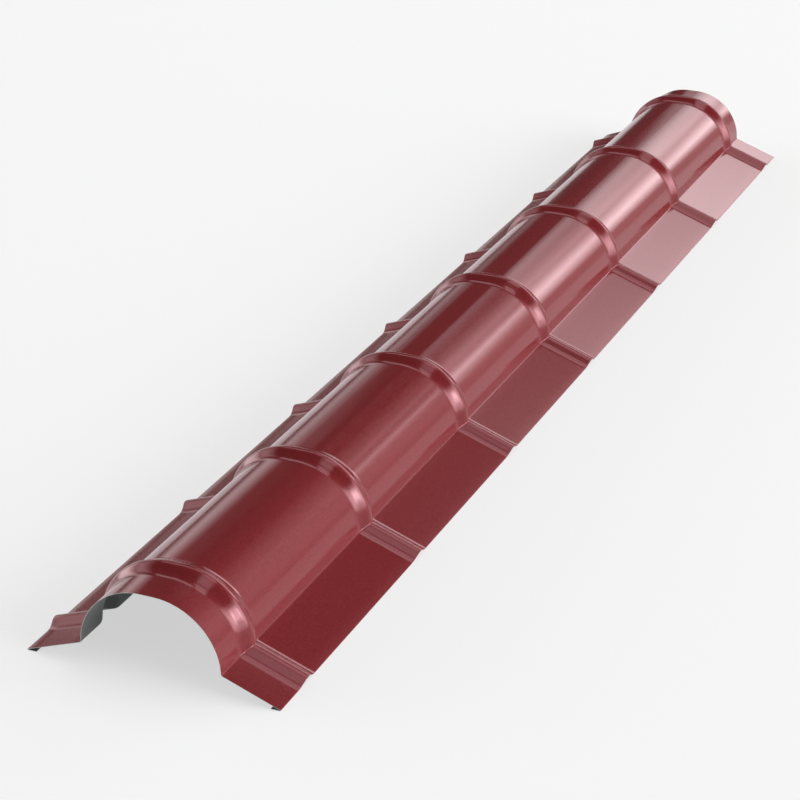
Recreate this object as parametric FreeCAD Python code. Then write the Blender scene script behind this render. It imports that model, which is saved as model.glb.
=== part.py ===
"""Half-round roof ridge cap: one ribbed steel sheet with two sloping flanges and folded edges.

The cap lies along Y. Its origin is at the middle of its footprint, on the level that its folded edges rest on.
"""
import FreeCAD, Part
import math
import os
from FreeCAD import Vector

# Driving dimensions, in millimetres and degrees
CAP_LENGTH = 2000.0
SHEET = 0.5
HALF_ROUND_RADIUS = 80.0
HALF_ROUND_RISE = 79.0
HALF_ROUND_WIDTH = 176.0
FLANGE_WIDTH = 75.5
FLANGE_SLOPE = 20.0
HEM_RADIUS = 0.75
HEM_FACETS = 4
HEM_LIP = 11.0
RIB_COUNT = 7
RIB_MARGIN = 64.0
RIB_HEIGHT = 8.2
RIB_SLOPE = 33.0
RIB_CREST_RADIUS = 12.0

# Directions: along the cap, up, down a flange and square out of that flange
ALONG = Vector(0, 1, 0)
UP = Vector(0, 0, 1)
SLOPE = math.radians(FLANGE_SLOPE)
DOWN_SLOPE = Vector(math.cos(SLOPE), 0, -math.sin(SLOPE))
OFF_SLOPE = Vector(math.sin(SLOPE), 0, math.cos(SLOPE))

# Places in the cross-section: the crease at the root of the half-round, and where its flat crown turns into its side
FOLD_DEPTH = HEM_RADIUS * (1 + math.cos(SLOPE))
ROOT = Vector(HALF_ROUND_WIDTH / 2, 0, (FLANGE_WIDTH - HEM_RADIUS) * math.sin(SLOPE) + FOLD_DEPTH)
SIDE_TURN = math.acos(1 - HALF_ROUND_RISE / HALF_ROUND_RADIUS)
SHOULDER = ROOT + UP * HALF_ROUND_RISE - Vector(HALF_ROUND_RADIUS * math.sin(SIDE_TURN), 0, 0)
SIDE_AXIS = SHOULDER - UP * HALF_ROUND_RADIUS

# How far a wall runs past the crease before it is trimmed, and how far the trimming blocks reach
OVERRUN = 4 * SHEET
TRIM = 3 * RIB_HEIGHT


def rib_stretches(middle):
    """One rib in the sheet's line along the cap, as runs of (y, height): flank, crest arc with its top, flank."""
    turn = math.radians(RIB_SLOPE)
    crest_run = RIB_CREST_RADIUS * math.sin(turn)
    flank_rise = RIB_HEIGHT - RIB_CREST_RADIUS * (1 - math.cos(turn))
    foot_run = crest_run + flank_rise / math.tan(turn)
    near_foot, far_foot = (middle - foot_run, 0), (middle + foot_run, 0)
    near_crest, far_crest = (middle - crest_run, flank_rise), (middle + crest_run, flank_rise)
    return [[near_foot, near_crest], [near_crest, (middle, RIB_HEIGHT), far_crest], [far_crest, far_foot]]


def sheet_stretches():
    """The sheet's line along the whole cap: evenly spaced ribs, with a flat bay before, between and after them."""
    end = CAP_LENGTH / 2
    pitch = (CAP_LENGTH - 2 * RIB_MARGIN) / (RIB_COUNT - 1)
    stretches, here = [], (-end, 0)
    for i in range(RIB_COUNT):
        rib = rib_stretches(RIB_MARGIN - end + i * pitch)
        stretches += [[here, rib[0][0]]] + rib
        here = rib[-1][-1]
    return stretches + [[here, (end, 0)]]


def ribbed_line(start, off):
    """Edges of the sheet's line along the cap through a point of the cross-section, with ribs that rise along off."""
    edges = []
    for stretch in sheet_stretches():
        points = [start + ALONG * y + off * height for y, height in stretch]
        arc = len(points) > 2
        edges.append(Part.Arc(*points).toShape() if arc else Part.makeLine(*points))
    return edges


def ribbed_band(top, off, depth, flat_below=False):
    """Face from the ribbed line down to a line that far below it, which is ribbed too unless it is to be flat."""
    half = ALONG * (CAP_LENGTH / 2)
    low = top - off * depth
    below = [Part.makeLine(low - half, low + half)] if flat_below else ribbed_line(low, off)
    ends = [Part.makeLine(top + end, low + end) for end in (-half, half)]
    return Part.Face(Part.Wire(Part.sortEdges(ribbed_line(top, off) + below + ends)[0]))


def flange_corners():
    """Corners of a flange's cross-section, from its start inside the half-round out and round its folded edge."""
    bend = ROOT + DOWN_SLOPE * (FLANGE_WIDTH - HEM_RADIUS) - OFF_SLOPE * HEM_RADIUS
    turns = [(math.pi - SLOPE) * i / HEM_FACETS for i in range(HEM_FACETS + 1)]
    rays = [DOWN_SLOPE * math.sin(turn) + OFF_SLOPE * math.cos(turn) for turn in turns]
    outside = [bend + ray * HEM_RADIUS for ray in rays]
    inside = [bend + ray * (HEM_RADIUS - SHEET) for ray in reversed(rays)]
    lip = Vector(-HEM_LIP, 0, 0)
    start = ROOT - DOWN_SLOPE * TRIM
    return [start] + outside + [outside[-1] + lip, inside[0] + lip] + inside + [start - OFF_SLOPE * SHEET]


def flange():
    """A flange with its folded edge: the cross-section moved along the ribbed line without turning."""
    corners = flange_corners()
    faces = []
    for corner, following in zip(corners, corners[1:] + corners[:1]):
        faces += [edge.extrude(following - corner) for edge in ribbed_line(corner, OFF_SLOPE)]
    section = Part.Face(Part.makePolygon(corners + corners[:1]))
    faces += [section.translated(ALONG * end) for end in (-CAP_LENGTH / 2, CAP_LENGTH / 2)]
    skin = Part.Compound(faces)
    skin.sewShape()
    return Part.Solid(skin.Shells[0])


def curved_side(depth, flat_below=False):
    """A curved side of the half-round, that thick under its ribbed outside, running a little past the root."""
    turn = SIDE_TURN + OVERRUN / HALF_ROUND_RADIUS
    return ribbed_band(SHOULDER, UP, depth, flat_below).revolve(SIDE_AXIS, ALONG, math.degrees(turn))


def right_half():
    """Crown, side and flange on one side of the cap, trimmed to each other at the root crease."""
    crown = ribbed_band(Vector(0, 0, SHOULDER.z), UP, SHEET).extrude(Vector(SHOULDER.x, 0, 0))
    under_flange = ribbed_band(ROOT - DOWN_SLOPE * TRIM - OFF_SLOPE * SHEET, OFF_SLOPE, TRIM, flat_below=True)
    side = curved_side(SHEET).cut(under_flange.extrude(DOWN_SLOPE * 2 * TRIM))
    outer_flange = flange().cut(curved_side(2 * TRIM, flat_below=True))
    return crown.fuse([side, outer_flange])


def ridge_cap():
    """The whole sheet: one half and its mirror image, joined along the crown."""
    right = right_half()
    left = right.mirror(Vector(0, 0, 0), Vector(1, 0, 0))
    return right.fuse(left).removeSplitter().Solids[0]


os.makedirs("parts", exist_ok=True)
ridge_cap().exportStep("parts/ridge_cap.step")
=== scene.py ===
"""Half-round roof ridge cap: one ribbed, coated steel sheet, modelled and finished around its CAD frame."""
import math

import bmesh
import bpy
from bpy.props import FloatProperty, FloatVectorProperty, IntProperty, PointerProperty
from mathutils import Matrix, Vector


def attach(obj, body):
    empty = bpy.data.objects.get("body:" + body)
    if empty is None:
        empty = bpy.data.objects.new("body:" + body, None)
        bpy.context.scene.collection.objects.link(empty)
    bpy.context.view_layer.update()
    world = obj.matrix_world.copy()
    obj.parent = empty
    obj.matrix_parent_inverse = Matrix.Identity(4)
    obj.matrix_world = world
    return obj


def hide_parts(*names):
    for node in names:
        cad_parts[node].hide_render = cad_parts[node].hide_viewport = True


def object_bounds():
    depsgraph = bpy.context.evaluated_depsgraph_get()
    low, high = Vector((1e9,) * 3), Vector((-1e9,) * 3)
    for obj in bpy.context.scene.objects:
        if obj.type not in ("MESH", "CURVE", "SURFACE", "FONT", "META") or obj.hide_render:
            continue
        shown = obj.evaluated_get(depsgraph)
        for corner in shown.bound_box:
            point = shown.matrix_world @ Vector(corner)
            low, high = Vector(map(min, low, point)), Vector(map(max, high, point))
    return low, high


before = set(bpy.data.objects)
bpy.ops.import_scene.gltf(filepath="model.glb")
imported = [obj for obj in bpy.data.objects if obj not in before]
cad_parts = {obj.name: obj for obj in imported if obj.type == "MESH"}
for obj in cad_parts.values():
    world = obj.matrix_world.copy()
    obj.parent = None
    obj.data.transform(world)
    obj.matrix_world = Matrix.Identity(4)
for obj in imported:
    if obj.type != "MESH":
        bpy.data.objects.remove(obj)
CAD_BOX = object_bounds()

bl_info = {
    "name": "Roof ridge cap",
    "version": (1, 0, 0),
    "blender": (4, 5, 0),
    "location": "3D View > Sidebar > Ridge cap",
    "description": "Presses, finishes and stages one half-round roof ridge cap",
    "category": "Object",
}

SHEET_NAME = "ridge_cap_sheet"
CAD_NODE = "ridge_cap"
CAP_LENGTH = CAD_BOX[1].y - CAD_BOX[0].y
GROUND = CAD_BOX[0].z

# Places closer together than TOUCH count as one. Points of two neighbouring bays are joined within BAY_GAP,
# and at the root the flange's points are joined to the side's within CREASE_GAP.
TOUCH = 1e-6
BAY_GAP = 1e-5
CREASE_GAP = 0.0004

# Steps in which each bend of the sheet is turned.
FOOT_STEPS = 8
CREST_STEPS = 12
SIDE_STEPS = 28
ROOT_STEPS = 5
HEM_STEPS = 8

# Rows of faces down a flange, after its first row, and across its folded lip.
FLANGE_ROWS = 4
LIP_ROWS = 2

# Side and flange each have one wider row of faces at the root. Both run a little past it and are cut there.
WALL_TURN = math.radians(9)
WALL_OVERRUN = math.radians(1)
FIRST_ROW = 0.014
FLANGE_OVERRUN = 0.002

# Creases sharper than this stay crisp when the sheet is shaded smooth.
SMOOTH_ANGLE = math.radians(35)

# Most of a noise texture's values lie between these two.
NOISE_LOW = 0.3
NOISE_HIGH = 0.7

# A soft box is hung as boxes of these shares of its size, each one this much further out than the last.
NESTED_BOXES = (0.35, 0.65, 0.95, 1.25, 1.55)
NEST_STEP = 1.0

FLOOR_SIZE = 400.0


class RidgeCapSizes(bpy.types.PropertyGroup):
    """Sizes of the pressed sheet."""
    sheet: FloatProperty(
        name="Sheet", description="Thickness of the coated sheet", default=0.0005, unit="LENGTH")
    half_round_radius: FloatProperty(
        name="Half-round radius", description="Outer radius of the curved sides", default=0.080,
        unit="LENGTH")
    half_round_rise: FloatProperty(
        name="Half-round rise", description="Height of the crown over the roots", default=0.079,
        unit="LENGTH")
    half_round_width: FloatProperty(
        name="Half-round width", description="Width from root to root", default=0.176, unit="LENGTH")
    root_bend: FloatProperty(
        name="Root bend", description="Radius of the bend into a flange", default=0.002, unit="LENGTH")
    flange_width: FloatProperty(
        name="Flange width", description="Width of a flange down its slope", default=0.0755, unit="LENGTH")
    flange_slope: FloatProperty(
        name="Flange slope", description="Fall of a flange", default=math.radians(20), subtype="ANGLE")
    hem_radius: FloatProperty(
        name="Hem radius", description="Outer radius of a folded edge", default=0.00075, unit="LENGTH")
    hem_lip: FloatProperty(
        name="Hem lip", description="Width of the strip folded under", default=0.011, unit="LENGTH")
    rib_count: IntProperty(
        name="Ribs", description="Number of ribs along the cap", default=7, subtype="UNSIGNED")
    rib_margin: FloatProperty(
        name="Rib margin", description="From an end to the first rib's middle", default=0.064, unit="LENGTH")
    rib_height: FloatProperty(
        name="Rib height", description="Rise of a rib over the sheet", default=0.0082, unit="LENGTH")
    rib_slope: FloatProperty(
        name="Rib slope", description="Slope of a rib's flanks", default=math.radians(33), subtype="ANGLE")
    crest_radius: FloatProperty(
        name="Crest radius", description="Radius over a rib's crest", default=0.012, unit="LENGTH")
    foot_radius: FloatProperty(
        name="Foot radius", description="Radius at a rib's two feet", default=0.022, unit="LENGTH")


class RidgeCapFinish(bpy.types.PropertyGroup):
    """Colours and gloss of the coated sheet."""
    coat_colour: FloatVectorProperty(
        name="Outer coat", description="Colour of the coat outside", default=(0.20, 0.0205, 0.0236),
        subtype="COLOR")
    coat_roughness: FloatProperty(
        name="Coat roughness", description="Mean roughness of the outer coat", default=0.14,
        subtype="FACTOR")
    coat_pearl: FloatProperty(
        name="Coat pearl", description="Share of metal flake in the outer coat", default=0.12,
        subtype="FACTOR")
    gloss_tint: FloatVectorProperty(
        name="Gloss tint", description="Tint of the outer coat's gloss", default=(1.0, 0.9, 0.98),
        subtype="COLOR")
    back_colour: FloatVectorProperty(
        name="Back coat", description="Colour of the coat inside", default=(0.115, 0.127, 0.120),
        subtype="COLOR")
    edge_colour: FloatVectorProperty(
        name="Cut edge", description="Colour of the sheared steel", default=(0.52, 0.55, 0.53),
        subtype="COLOR")
    grain: FloatProperty(
        name="Grain", description="Width of one grain of the coat", default=0.0028, unit="LENGTH")


class RidgeCapStage(bpy.types.PropertyGroup):
    """Camera, floor, walls and lamps of the studio."""
    camera_place: FloatVectorProperty(
        name="Camera", description="Place of the camera", default=(1.1076, -2.8455, 1.3310),
        subtype="TRANSLATION", unit="LENGTH")
    azimuth: FloatProperty(
        name="Azimuth", description="Turn of the view to the right of the cap", default=math.radians(23.67),
        subtype="ANGLE")
    elevation: FloatProperty(
        name="Elevation", description="Height of the view over level", default=math.radians(24.92),
        subtype="ANGLE")
    lens: FloatProperty(
        name="Lens", description="Focal length for a sensor 36 mm wide", default=102.24, unit="CAMERA")
    floor_colour: FloatVectorProperty(
        name="Floor", description="Colour of the floor", default=(0.92, 0.92, 0.92), subtype="COLOR")
    floor_white: FloatProperty(
        name="Floor white", description="Share of plain white in the floor as it is seen", default=0.6,
        subtype="FACTOR")
    wall_colour: FloatVectorProperty(
        name="Walls", description="Colour of the studio's walls", default=(0.045, 0.045, 0.045),
        subtype="COLOR")
    lamp_level: FloatProperty(
        name="Lamp level", description="Factor on the brightness of every soft box", default=1.0,
        subtype="FACTOR")
    lamp_distance: FloatProperty(
        name="Lamp distance", description="From the cap to the soft boxes", default=15.0, unit="LENGTH")


def add_node(tree, kind, feeds=(), **settings):
    """Adds a node, sets its properties and links each output in feeds to the input named beside it."""
    node = tree.nodes.new(kind)
    for name, value in settings.items():
        setattr(node, name, value)
    for output, name in feeds:
        tree.links.new(output, node.inputs[name])
    return node


def start_material(name):
    """A new material: itself, its node tree, its shader and the piece's own coordinates."""
    material = bpy.data.materials.new(name)
    material.use_nodes = True
    tree = material.node_tree
    places = add_node(tree, "ShaderNodeTexCoord").outputs["Object"]
    return material, tree, tree.nodes["Principled BSDF"], places


def speckle(tree, places, width, detail=2.0):
    """Even noise with specks of this width, from 0 to 1."""
    noise = add_node(tree, "ShaderNodeTexNoise", [(places, "Vector")])
    noise.inputs["Scale"].default_value = 1 / width
    noise.inputs["Detail"].default_value = detail
    return noise.outputs["Fac"]


def spread(tree, factor, low, high):
    """Carries noise from its usual middle range over to the range from low to high."""
    node = add_node(tree, "ShaderNodeMapRange", [(factor, "Value")])
    ends = {"From Min": NOISE_LOW, "From Max": NOISE_HIGH, "To Min": low, "To Max": high}
    for name, value in ends.items():
        node.inputs[name].default_value = value
    return node.outputs["Result"]


def shaded(tree, factor, colour, depth):
    """The colour made darker and lighter by depth as the noise runs over its usual range."""
    node = add_node(tree, "ShaderNodeMix", data_type="RGBA")
    tree.links.new(spread(tree, factor, 0, 1), node.inputs["Factor"])
    node.inputs["A"].default_value = (*[channel * (1 - depth) for channel in colour], 1)
    node.inputs["B"].default_value = (*[channel * (1 + depth) for channel in colour], 1)
    return node.outputs["Result"]


def raise_grain(tree, shader, height, strength, depth):
    """Gives the shader a bump of this height."""
    bump = add_node(tree, "ShaderNodeBump", [(height, "Height")])
    bump.inputs["Strength"].default_value = strength
    bump.inputs["Distance"].default_value = depth
    tree.links.new(bump.outputs["Normal"], shader.inputs["Normal"])


def outer_coat(finish):
    """Satin wine-red coat with a little metal flake, and fine grain in its colour, gloss and surface."""
    material, tree, shader, places = start_material("outer_coat")
    unevenness = 0.04
    grain = speckle(tree, places, finish.grain, detail=4.0)
    tree.links.new(shaded(tree, grain, finish.coat_colour, depth=0.12), shader.inputs["Base Color"])
    rough = spread(tree, grain, finish.coat_roughness - unevenness, finish.coat_roughness + unevenness)
    tree.links.new(rough, shader.inputs["Roughness"])
    shader.inputs["Metallic"].default_value = finish.coat_pearl
    shader.inputs["Specular Tint"].default_value = (*finish.gloss_tint, 1)
    raise_grain(tree, shader, grain, strength=0.12, depth=0.0002)
    return material


def back_coat(finish):
    """Thin grey-green primer on the inside, with a coarser grain."""
    material, tree, shader, places = start_material("back_coat")
    grain = speckle(tree, places, 2 * finish.grain)
    tree.links.new(shaded(tree, grain, finish.back_colour, depth=0.10), shader.inputs["Base Color"])
    tree.links.new(spread(tree, grain, low=0.45, high=0.60), shader.inputs["Roughness"])
    raise_grain(tree, shader, grain, strength=0.15, depth=0.0001)
    return material


def cut_edge(finish):
    """Sheared steel between the two coats, slightly uneven in colour, gloss and surface."""
    material, tree, shader, places = start_material("cut_edge")
    marks = speckle(tree, places, finish.grain)
    tree.links.new(shaded(tree, marks, finish.edge_colour, depth=0.12), shader.inputs["Base Color"])
    tree.links.new(spread(tree, marks, low=0.30, high=0.50), shader.inputs["Roughness"])
    shader.inputs["Metallic"].default_value = 0.5
    raise_grain(tree, shader, marks, strength=0.2, depth=0.0001)
    return material


def pick(sheet, test):
    """Selects the shown vertices whose place passes the test, with the edges and faces between them."""
    mesh = bmesh.from_edit_mesh(sheet.data)
    for vert in mesh.verts:
        vert.select_set(not vert.hide and test(vert.co))
    mesh.select_flush(False)
    mesh.select_flush(True)
    bmesh.update_edit_mesh(sheet.data)


def draw_out(step):
    """Extrudes what is selected by one step."""
    bpy.ops.mesh.extrude_region_move(TRANSFORM_OT_translate={"value": step})


def turn_out(angle, steps, center, axis):
    """Spins what is selected about an axis by the right-hand rule, against which the operator turns."""
    bpy.ops.mesh.spin(steps=steps, angle=-angle, center=center, axis=axis)


class SheetPlaces:
    """Places and directions in the right half of the cross-section, worked out from the sizes."""

    def __init__(self, sizes):
        slope = sizes.flange_slope
        self.down_slope = Vector((math.cos(slope), 0, -math.sin(slope)))
        self.off_slope = Vector((math.sin(slope), 0, math.cos(slope)))
        flat_flange = sizes.flange_width - sizes.hem_radius
        fold_depth = sizes.hem_radius * (1 + math.cos(slope))
        root_height = GROUND + flat_flange * math.sin(slope) + fold_depth
        self.root = Vector((sizes.half_round_width / 2, 0, root_height))
        self.side_turn = math.acos(1 - sizes.half_round_rise / sizes.half_round_radius)
        self.shoulder = self.root + Vector((
            -sizes.half_round_radius * math.sin(self.side_turn), 0, sizes.half_round_rise))
        self.side_axis = self.shoulder - Vector((0, 0, sizes.half_round_radius))
        self.pitch = (CAP_LENGTH - 2 * sizes.rib_margin) / (sizes.rib_count - 1)
        mitre = self.crest_root(sizes) - self.root
        self.over_mitre = Vector((-mitre.z, 0, mitre.x)).normalized()

    def crest_root(self, sizes):
        """Where the crest of a rib on the curved side meets the crest of that rib on the flange."""
        start = self.root + self.off_slope * sizes.rib_height - self.side_axis
        radius = sizes.half_round_radius + sizes.rib_height
        along = start.dot(self.down_slope)
        run = -along + math.sqrt(along ** 2 - start.length_squared + radius ** 2)
        return self.side_axis + start + self.down_slope * run


def press_crown(sizes, places):
    """Starts the sheet as a flat strip along the crown and draws it out over one rib to the next bay."""
    turn = sizes.rib_slope
    crest_run = sizes.crest_radius * math.sin(turn)
    foot_run = sizes.foot_radius * math.sin(turn)
    flank_rise = sizes.rib_height - (sizes.crest_radius + sizes.foot_radius) * (1 - math.cos(turn))
    flank_run = flank_rise / math.tan(turn)
    foot = crest_run + flank_run + foot_run
    bay = places.pitch / 2 - foot
    width, crown = places.shoulder.x, places.shoulder.z
    bpy.ops.mesh.primitive_plane_add(size=1, enter_editmode=True)
    sheet = bpy.context.active_object
    sheet.name = sheet.data.name = SHEET_NAME
    bpy.ops.transform.resize(value=(width, bay, 1), center_override=(0, 0, 0))
    bpy.ops.transform.translate(value=(width / 2, -foot - bay / 2, crown))
    pick(sheet, lambda place: place.y > -foot - TOUCH)
    across = (1, 0, 0)
    turn_out(turn, FOOT_STEPS, (0, -foot, crown + sizes.foot_radius), across)
    draw_out((0, flank_run, flank_rise))
    turn_out(-2 * turn, CREST_STEPS, (0, 0, crown + sizes.rib_height - sizes.crest_radius), across)
    draw_out((0, flank_run, -flank_rise))
    turn_out(turn, FOOT_STEPS, (0, foot, crown + sizes.foot_radius), across)
    draw_out((0, bay, 0))
    return sheet


def press_side(sheet, places):
    """Turns the crown's edge down into the curved side and trims that at the root."""
    along = (0, 1, 0)
    pick(sheet, lambda place: place.x > places.shoulder.x - TOUCH)
    turn_out(places.side_turn - WALL_TURN, SIDE_STEPS, places.side_axis, along)
    turn_out(WALL_TURN, 1, places.side_axis, along)
    turn_out(WALL_OVERRUN, 1, places.side_axis, along)
    bpy.ops.mesh.select_all(action="SELECT")
    bpy.ops.mesh.bisect(plane_co=places.root, plane_no=places.over_mitre, clear_inner=True, threshold=TOUCH)


def press_flange(sheet, sizes, places):
    """Copies the crown's ribbed line to the root and draws it out into the flange, its fold and its lip."""
    pick(sheet, lambda place: place.x < TOUCH)
    bpy.ops.mesh.duplicate()
    bpy.ops.mesh.hide(unselected=True)
    crown = Vector((0, 0, places.shoulder.z))
    bpy.ops.transform.rotate(value=-sizes.flange_slope, orient_axis="Y", center_override=crown)
    bpy.ops.transform.translate(value=places.root - places.down_slope * FLANGE_OVERRUN - crown)
    draw_out(places.down_slope * (FLANGE_OVERRUN + FIRST_ROW))
    row = (sizes.flange_width - sizes.hem_radius - FIRST_ROW) / FLANGE_ROWS
    for _ in range(FLANGE_ROWS):
        draw_out(places.down_slope * row)
    hem_turn = (math.pi - sizes.flange_slope) / HEM_STEPS
    rays = [places.down_slope * math.sin(hem_turn * i) + places.off_slope * math.cos(hem_turn * i)
            for i in range(HEM_STEPS + 1)]
    for ray, following in zip(rays, rays[1:]):
        draw_out((following - ray) * sizes.hem_radius)
    for _ in range(LIP_ROWS):
        draw_out((-sizes.hem_lip / LIP_ROWS, 0, 0))
    bpy.ops.mesh.select_all(action="SELECT")
    bpy.ops.mesh.bisect(plane_co=places.root, plane_no=places.over_mitre, clear_outer=True, threshold=TOUCH)


def round_root(sheet, sizes, places):
    """Joins the flange, which alone is shown, to the side along their crease and rounds that crease."""
    def on_crease(place):
        return abs((place - places.root).dot(places.over_mitre)) < 2 * TOUCH
    pick(sheet, on_crease)
    bpy.ops.mesh.reveal(select=False)
    bpy.ops.mesh.remove_doubles(threshold=CREASE_GAP, use_unselected=True)
    bpy.ops.mesh.select_all(action="SELECT")
    bpy.ops.mesh.normals_make_consistent(inside=False)
    pick(sheet, on_crease)
    turn = math.pi / 2 - sizes.flange_slope
    bpy.ops.mesh.bevel(
        offset_type="ABSOLUTE", offset=sizes.root_bend * math.tan(turn / 2), segments=ROOT_STEPS,
        profile=0.5, affect="EDGES", clamp_overlap=False, loop_slide=True)


def apply_modifier(sheet, kind, **settings):
    """Adds a modifier with these settings and applies it."""
    modifier = sheet.modifiers.new(kind.title(), kind)
    for name, value in settings.items():
        setattr(modifier, name, value)
    bpy.ops.object.modifier_apply(modifier=modifier.name)


def repeat_bays(sheet, sizes, places):
    """Mirrors the half, repeats the rib along the cap, cuts both ends square and turns the coat outwards."""
    bpy.ops.object.mode_set(mode="OBJECT")
    apply_modifier(sheet, "MIRROR", use_axis=(True, False, False), merge_threshold=TOUCH)
    apply_modifier(
        sheet, "ARRAY", count=sizes.rib_count, use_relative_offset=False, use_constant_offset=True,
        constant_offset_displace=(0, places.pitch, 0), use_merge_vertices=True, merge_threshold=BAY_GAP)
    bpy.ops.object.mode_set(mode="EDIT")
    bpy.ops.mesh.select_all(action="SELECT")
    bpy.ops.transform.translate(value=(0, -places.pitch * (sizes.rib_count - 1) / 2, 0))
    for end in (-1, 1):
        bpy.ops.mesh.select_all(action="SELECT")
        bpy.ops.mesh.bisect(
            plane_co=(0, end * CAP_LENGTH / 2, 0), plane_no=(0, end, 0), clear_outer=True, threshold=TOUCH)
    bpy.ops.mesh.select_all(action="SELECT")
    bpy.ops.mesh.normals_make_consistent(inside=False)
    mesh = bmesh.from_edit_mesh(sheet.data)
    crown = max(mesh.faces, key=lambda face: face.calc_center_median().z)
    if crown.normal.z < 0:
        bpy.ops.mesh.flip_normals()
    bpy.ops.object.mode_set(mode="OBJECT")


def check_closed(sheet):
    """Stops the script where an edge of the finished sheet isn't shared by two faces."""
    mesh = bmesh.new()
    mesh.from_mesh(sheet.data)
    open_edges = sum(not edge.is_manifold for edge in mesh.edges)
    mesh.free()
    if open_edges:
        raise RuntimeError(f"{sheet.name} has {open_edges} open edges")


class RIDGECAP_OT_form_sheet(bpy.types.Operator):
    """Press the ribbed sheet with its half-round, flanges and folded edges"""
    bl_idname = "ridge_cap.form_sheet"
    bl_label = "Form sheet"

    def execute(self, context):
        sizes = context.scene.ridge_cap_sizes
        places = SheetPlaces(sizes)
        bpy.ops.object.select_all(action="DESELECT")
        context.tool_settings.mesh_select_mode = (True, False, False)
        sheet = press_crown(sizes, places)
        press_side(sheet, places)
        press_flange(sheet, sizes, places)
        round_root(sheet, sizes, places)
        repeat_bays(sheet, sizes, places)
        for make in (outer_coat, back_coat, cut_edge):
            sheet.data.materials.append(make(context.scene.ridge_cap_finish))
        apply_modifier(
            sheet, "SOLIDIFY", thickness=sizes.sheet, offset=-1, use_even_offset=True,
            material_offset=1, material_offset_rim=2)
        check_closed(sheet)
        bpy.ops.object.shade_smooth_by_angle(angle=SMOOTH_ANGLE)
        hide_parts(CAD_NODE)
        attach(sheet, "root")
        return {"FINISHED"}


def place_camera(stage):
    """Camera at the photograph's viewing angle."""
    camera = bpy.data.objects.new("camera", bpy.data.cameras.new("camera"))
    bpy.context.scene.collection.objects.link(camera)
    camera.data.lens = stage.lens
    level = math.cos(stage.elevation)
    ahead = Vector((
        -math.sin(stage.azimuth) * level, math.cos(stage.azimuth) * level, -math.sin(stage.elevation)))
    camera.location = stage.camera_place
    camera.rotation_euler = ahead.to_track_quat("-Z", "Y").to_euler()
    bpy.context.scene.camera = camera


def seen_rays(tree):
    """1 for camera, mirror and see-through rays, and 0 for the light that a surface scatters."""
    path = add_node(tree, "ShaderNodeLightPath").outputs
    mirror = add_node(tree, "ShaderNodeMath", operation="MAXIMUM")
    tree.links.new(path["Is Camera Ray"], mirror.inputs[0])
    tree.links.new(path["Is Glossy Ray"], mirror.inputs[1])
    seen = add_node(tree, "ShaderNodeMath", operation="MAXIMUM")
    tree.links.new(mirror.outputs[0], seen.inputs[0])
    tree.links.new(path["Is Transmission Ray"], seen.inputs[1])
    return seen.outputs[0]


def lay_floor(stage):
    """Plain pale floor that the cap rests on, part of it plain white as seen, with the cap's shadow kept."""
    bpy.ops.mesh.primitive_plane_add(size=FLOOR_SIZE, location=(0, 0, GROUND))
    floor = bpy.context.active_object
    floor.name = "studio_floor"
    material = bpy.data.materials.new("floor_paint")
    material.use_nodes = True
    tree = material.node_tree
    paint = tree.nodes["Principled BSDF"]
    paint.inputs["Base Color"].default_value = (*stage.floor_colour, 1)
    paint.inputs["Specular IOR Level"].default_value = 0.0
    white = add_node(tree, "ShaderNodeEmission")
    share = add_node(tree, "ShaderNodeMath", [(seen_rays(tree), 0)], operation="MULTIPLY")
    share.inputs[1].default_value = stage.floor_white
    mix = add_node(tree, "ShaderNodeMixShader", [(share.outputs[0], 0)])
    tree.links.new(paint.outputs[0], mix.inputs[1])
    tree.links.new(white.outputs[0], mix.inputs[2])
    tree.links.new(mix.outputs[0], tree.nodes["Material Output"].inputs["Surface"])
    floor.data.materials.append(material)


def light_world(stage):
    """Dim, even light from the studio's walls."""
    world = bpy.data.worlds.new("studio")
    world.use_nodes = True
    world.node_tree.nodes["Background"].inputs["Color"].default_value = (*stage.wall_colour, 1)
    bpy.context.scene.world = world


def direction(azimuth, elevation):
    """Unit vector at an azimuth to the right of the ridge's far end and an elevation, in degrees."""
    level = math.cos(math.radians(elevation))
    return Vector((
        math.sin(math.radians(azimuth)) * level,
        math.cos(math.radians(azimuth)) * level,
        math.sin(math.radians(elevation))))


def hang_lamp(stage, name, place, toward, width, height, level):
    """Soft box of this size at a place, turned towards another; level 1 is white."""
    lamp = bpy.data.lights.new(name, "AREA")
    lamp.shape = "RECTANGLE"
    lamp.size = width
    lamp.size_y = height
    lamp.energy = math.pi * width * height * level * stage.lamp_level
    box = bpy.data.objects.new(name, lamp)
    bpy.context.scene.collection.objects.link(box)
    box.location = place
    box.rotation_euler = (toward - place).to_track_quat("-Z", "Y").to_euler()
    box.visible_camera = False


def hang_soft_box(stage, name, azimuth, elevation, width, height, level):
    """Soft box that faces the cap and spans width by height in degrees as seen from it.

    It is hung as boxes one behind the other, each larger, so that its light falls off towards its edges.
    """
    for step, share in enumerate(NESTED_BOXES):
        reach = stage.lamp_distance + step * NEST_STEP
        hang_lamp(
            stage, name, direction(azimuth, elevation) * reach, Vector(),
            2 * share * reach * math.tan(math.radians(width) / 2),
            2 * share * reach * math.tan(math.radians(height) / 2), level / len(NESTED_BOXES))


def hang_ceiling_box(stage, name, left, right, near, far, level):
    """Level soft box overhead, with its sides given as shares of its height over the floor."""
    height = stage.lamp_distance
    place = Vector(((left + right) / 2, (near + far) / 2, 1)) * height
    below = place - Vector((0, 0, height))
    hang_lamp(stage, name, place, below, (right - left) * height, (far - near) * height, level)


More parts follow.
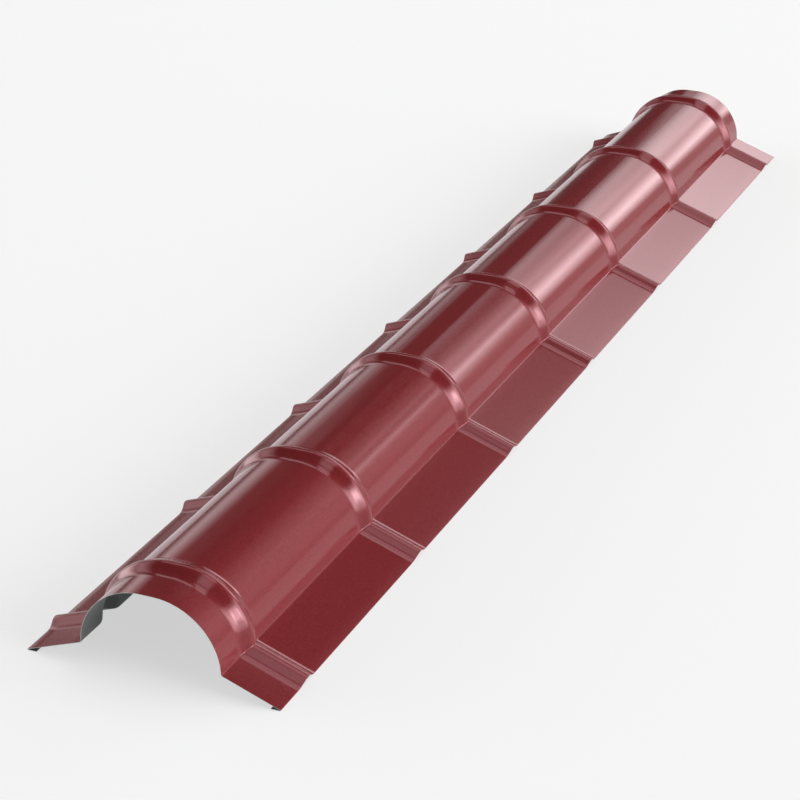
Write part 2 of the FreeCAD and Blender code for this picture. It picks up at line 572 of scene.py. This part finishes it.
class RIDGECAP_OT_set_stage(bpy.types.Operator):
    """Lay the floor, hang the lights and place the camera"""
    bl_idname = "ridge_cap.set_stage"
    bl_label = "Set stage"

    def execute(self, context):
        stage = context.scene.ridge_cap_stage
        bpy.ops.object.select_all(action="DESELECT")
        lay_floor(stage)
        place_camera(stage)
        light_world(stage)
        hang_soft_box(stage, "key_box", azimuth=84, elevation=17, width=48, height=27, level=6.8)
        hang_soft_box(stage, "key_core", azimuth=100, elevation=21, width=14, height=13, level=11)
        hang_soft_box(stage, "far_hot_box", azimuth=21.5, elevation=16.2, width=10, height=10, level=6)
        hang_soft_box(stage, "far_wide_box", azimuth=2.2, elevation=21, width=23, height=13, level=3.6)
        hang_soft_box(stage, "left_box", azimuth=-100, elevation=11, width=64, height=18, level=6)
        hang_soft_box(stage, "left_high_box", azimuth=-87, elevation=33, width=34, height=18, level=2)
        hang_soft_box(stage, "left_low_box", azimuth=-43, elevation=16, width=21, height=15, level=1.6)
        hang_soft_box(stage, "right_wall", azimuth=52, elevation=20, width=64, height=38, level=1)
        hang_ceiling_box(stage, "far_ceiling_box", left=0.06, right=0.4, near=0.03, far=0.95, level=1.9)
        hang_ceiling_box(stage, "left_ceiling_box", left=-0.8, right=0.0, near=0.55, far=0.95, level=1.6)
        hang_ceiling_box(stage, "near_ceiling_box", left=0.06, right=0.4, near=-0.45, far=-0.07, level=1.7)
        context.scene.view_settings.view_transform = "Standard"
        return {"FINISHED"}


class RIDGECAP_PT_sidebar(bpy.types.Panel):
    """Sizes, finishes and steps of the ridge cap"""
    bl_idname = "RIDGECAP_PT_sidebar"
    bl_label = "Ridge cap"
    bl_space_type = "VIEW_3D"
    bl_region_type = "UI"
    bl_category = "Ridge cap"

    def draw(self, context):
        scene = context.scene
        for group in (scene.ridge_cap_sizes, scene.ridge_cap_finish, scene.ridge_cap_stage):
            column = self.layout.column()
            for name in group.__annotations__:
                column.prop(group, name)
        self.layout.operator(RIDGECAP_OT_form_sheet.bl_idname)
        self.layout.operator(RIDGECAP_OT_set_stage.bl_idname)


CLASSES = (
    RidgeCapSizes, RidgeCapFinish, RidgeCapStage, RIDGECAP_OT_form_sheet, RIDGECAP_OT_set_stage,
    RIDGECAP_PT_sidebar)


def register():
    for cls in CLASSES:
        bpy.utils.register_class(cls)
    bpy.types.Scene.ridge_cap_sizes = PointerProperty(type=RidgeCapSizes)
    bpy.types.Scene.ridge_cap_finish = PointerProperty(type=RidgeCapFinish)
    bpy.types.Scene.ridge_cap_stage = PointerProperty(type=RidgeCapStage)


def unregister():
    del bpy.types.Scene.ridge_cap_stage
    del bpy.types.Scene.ridge_cap_finish
    del bpy.types.Scene.ridge_cap_sizes
    for cls in reversed(CLASSES):
        bpy.utils.unregister_class(cls)


def main():
    register()
    bpy.ops.ridge_cap.form_sheet()
    bpy.ops.ridge_cap.set_stage()


if __name__ == "__main__":
    main()
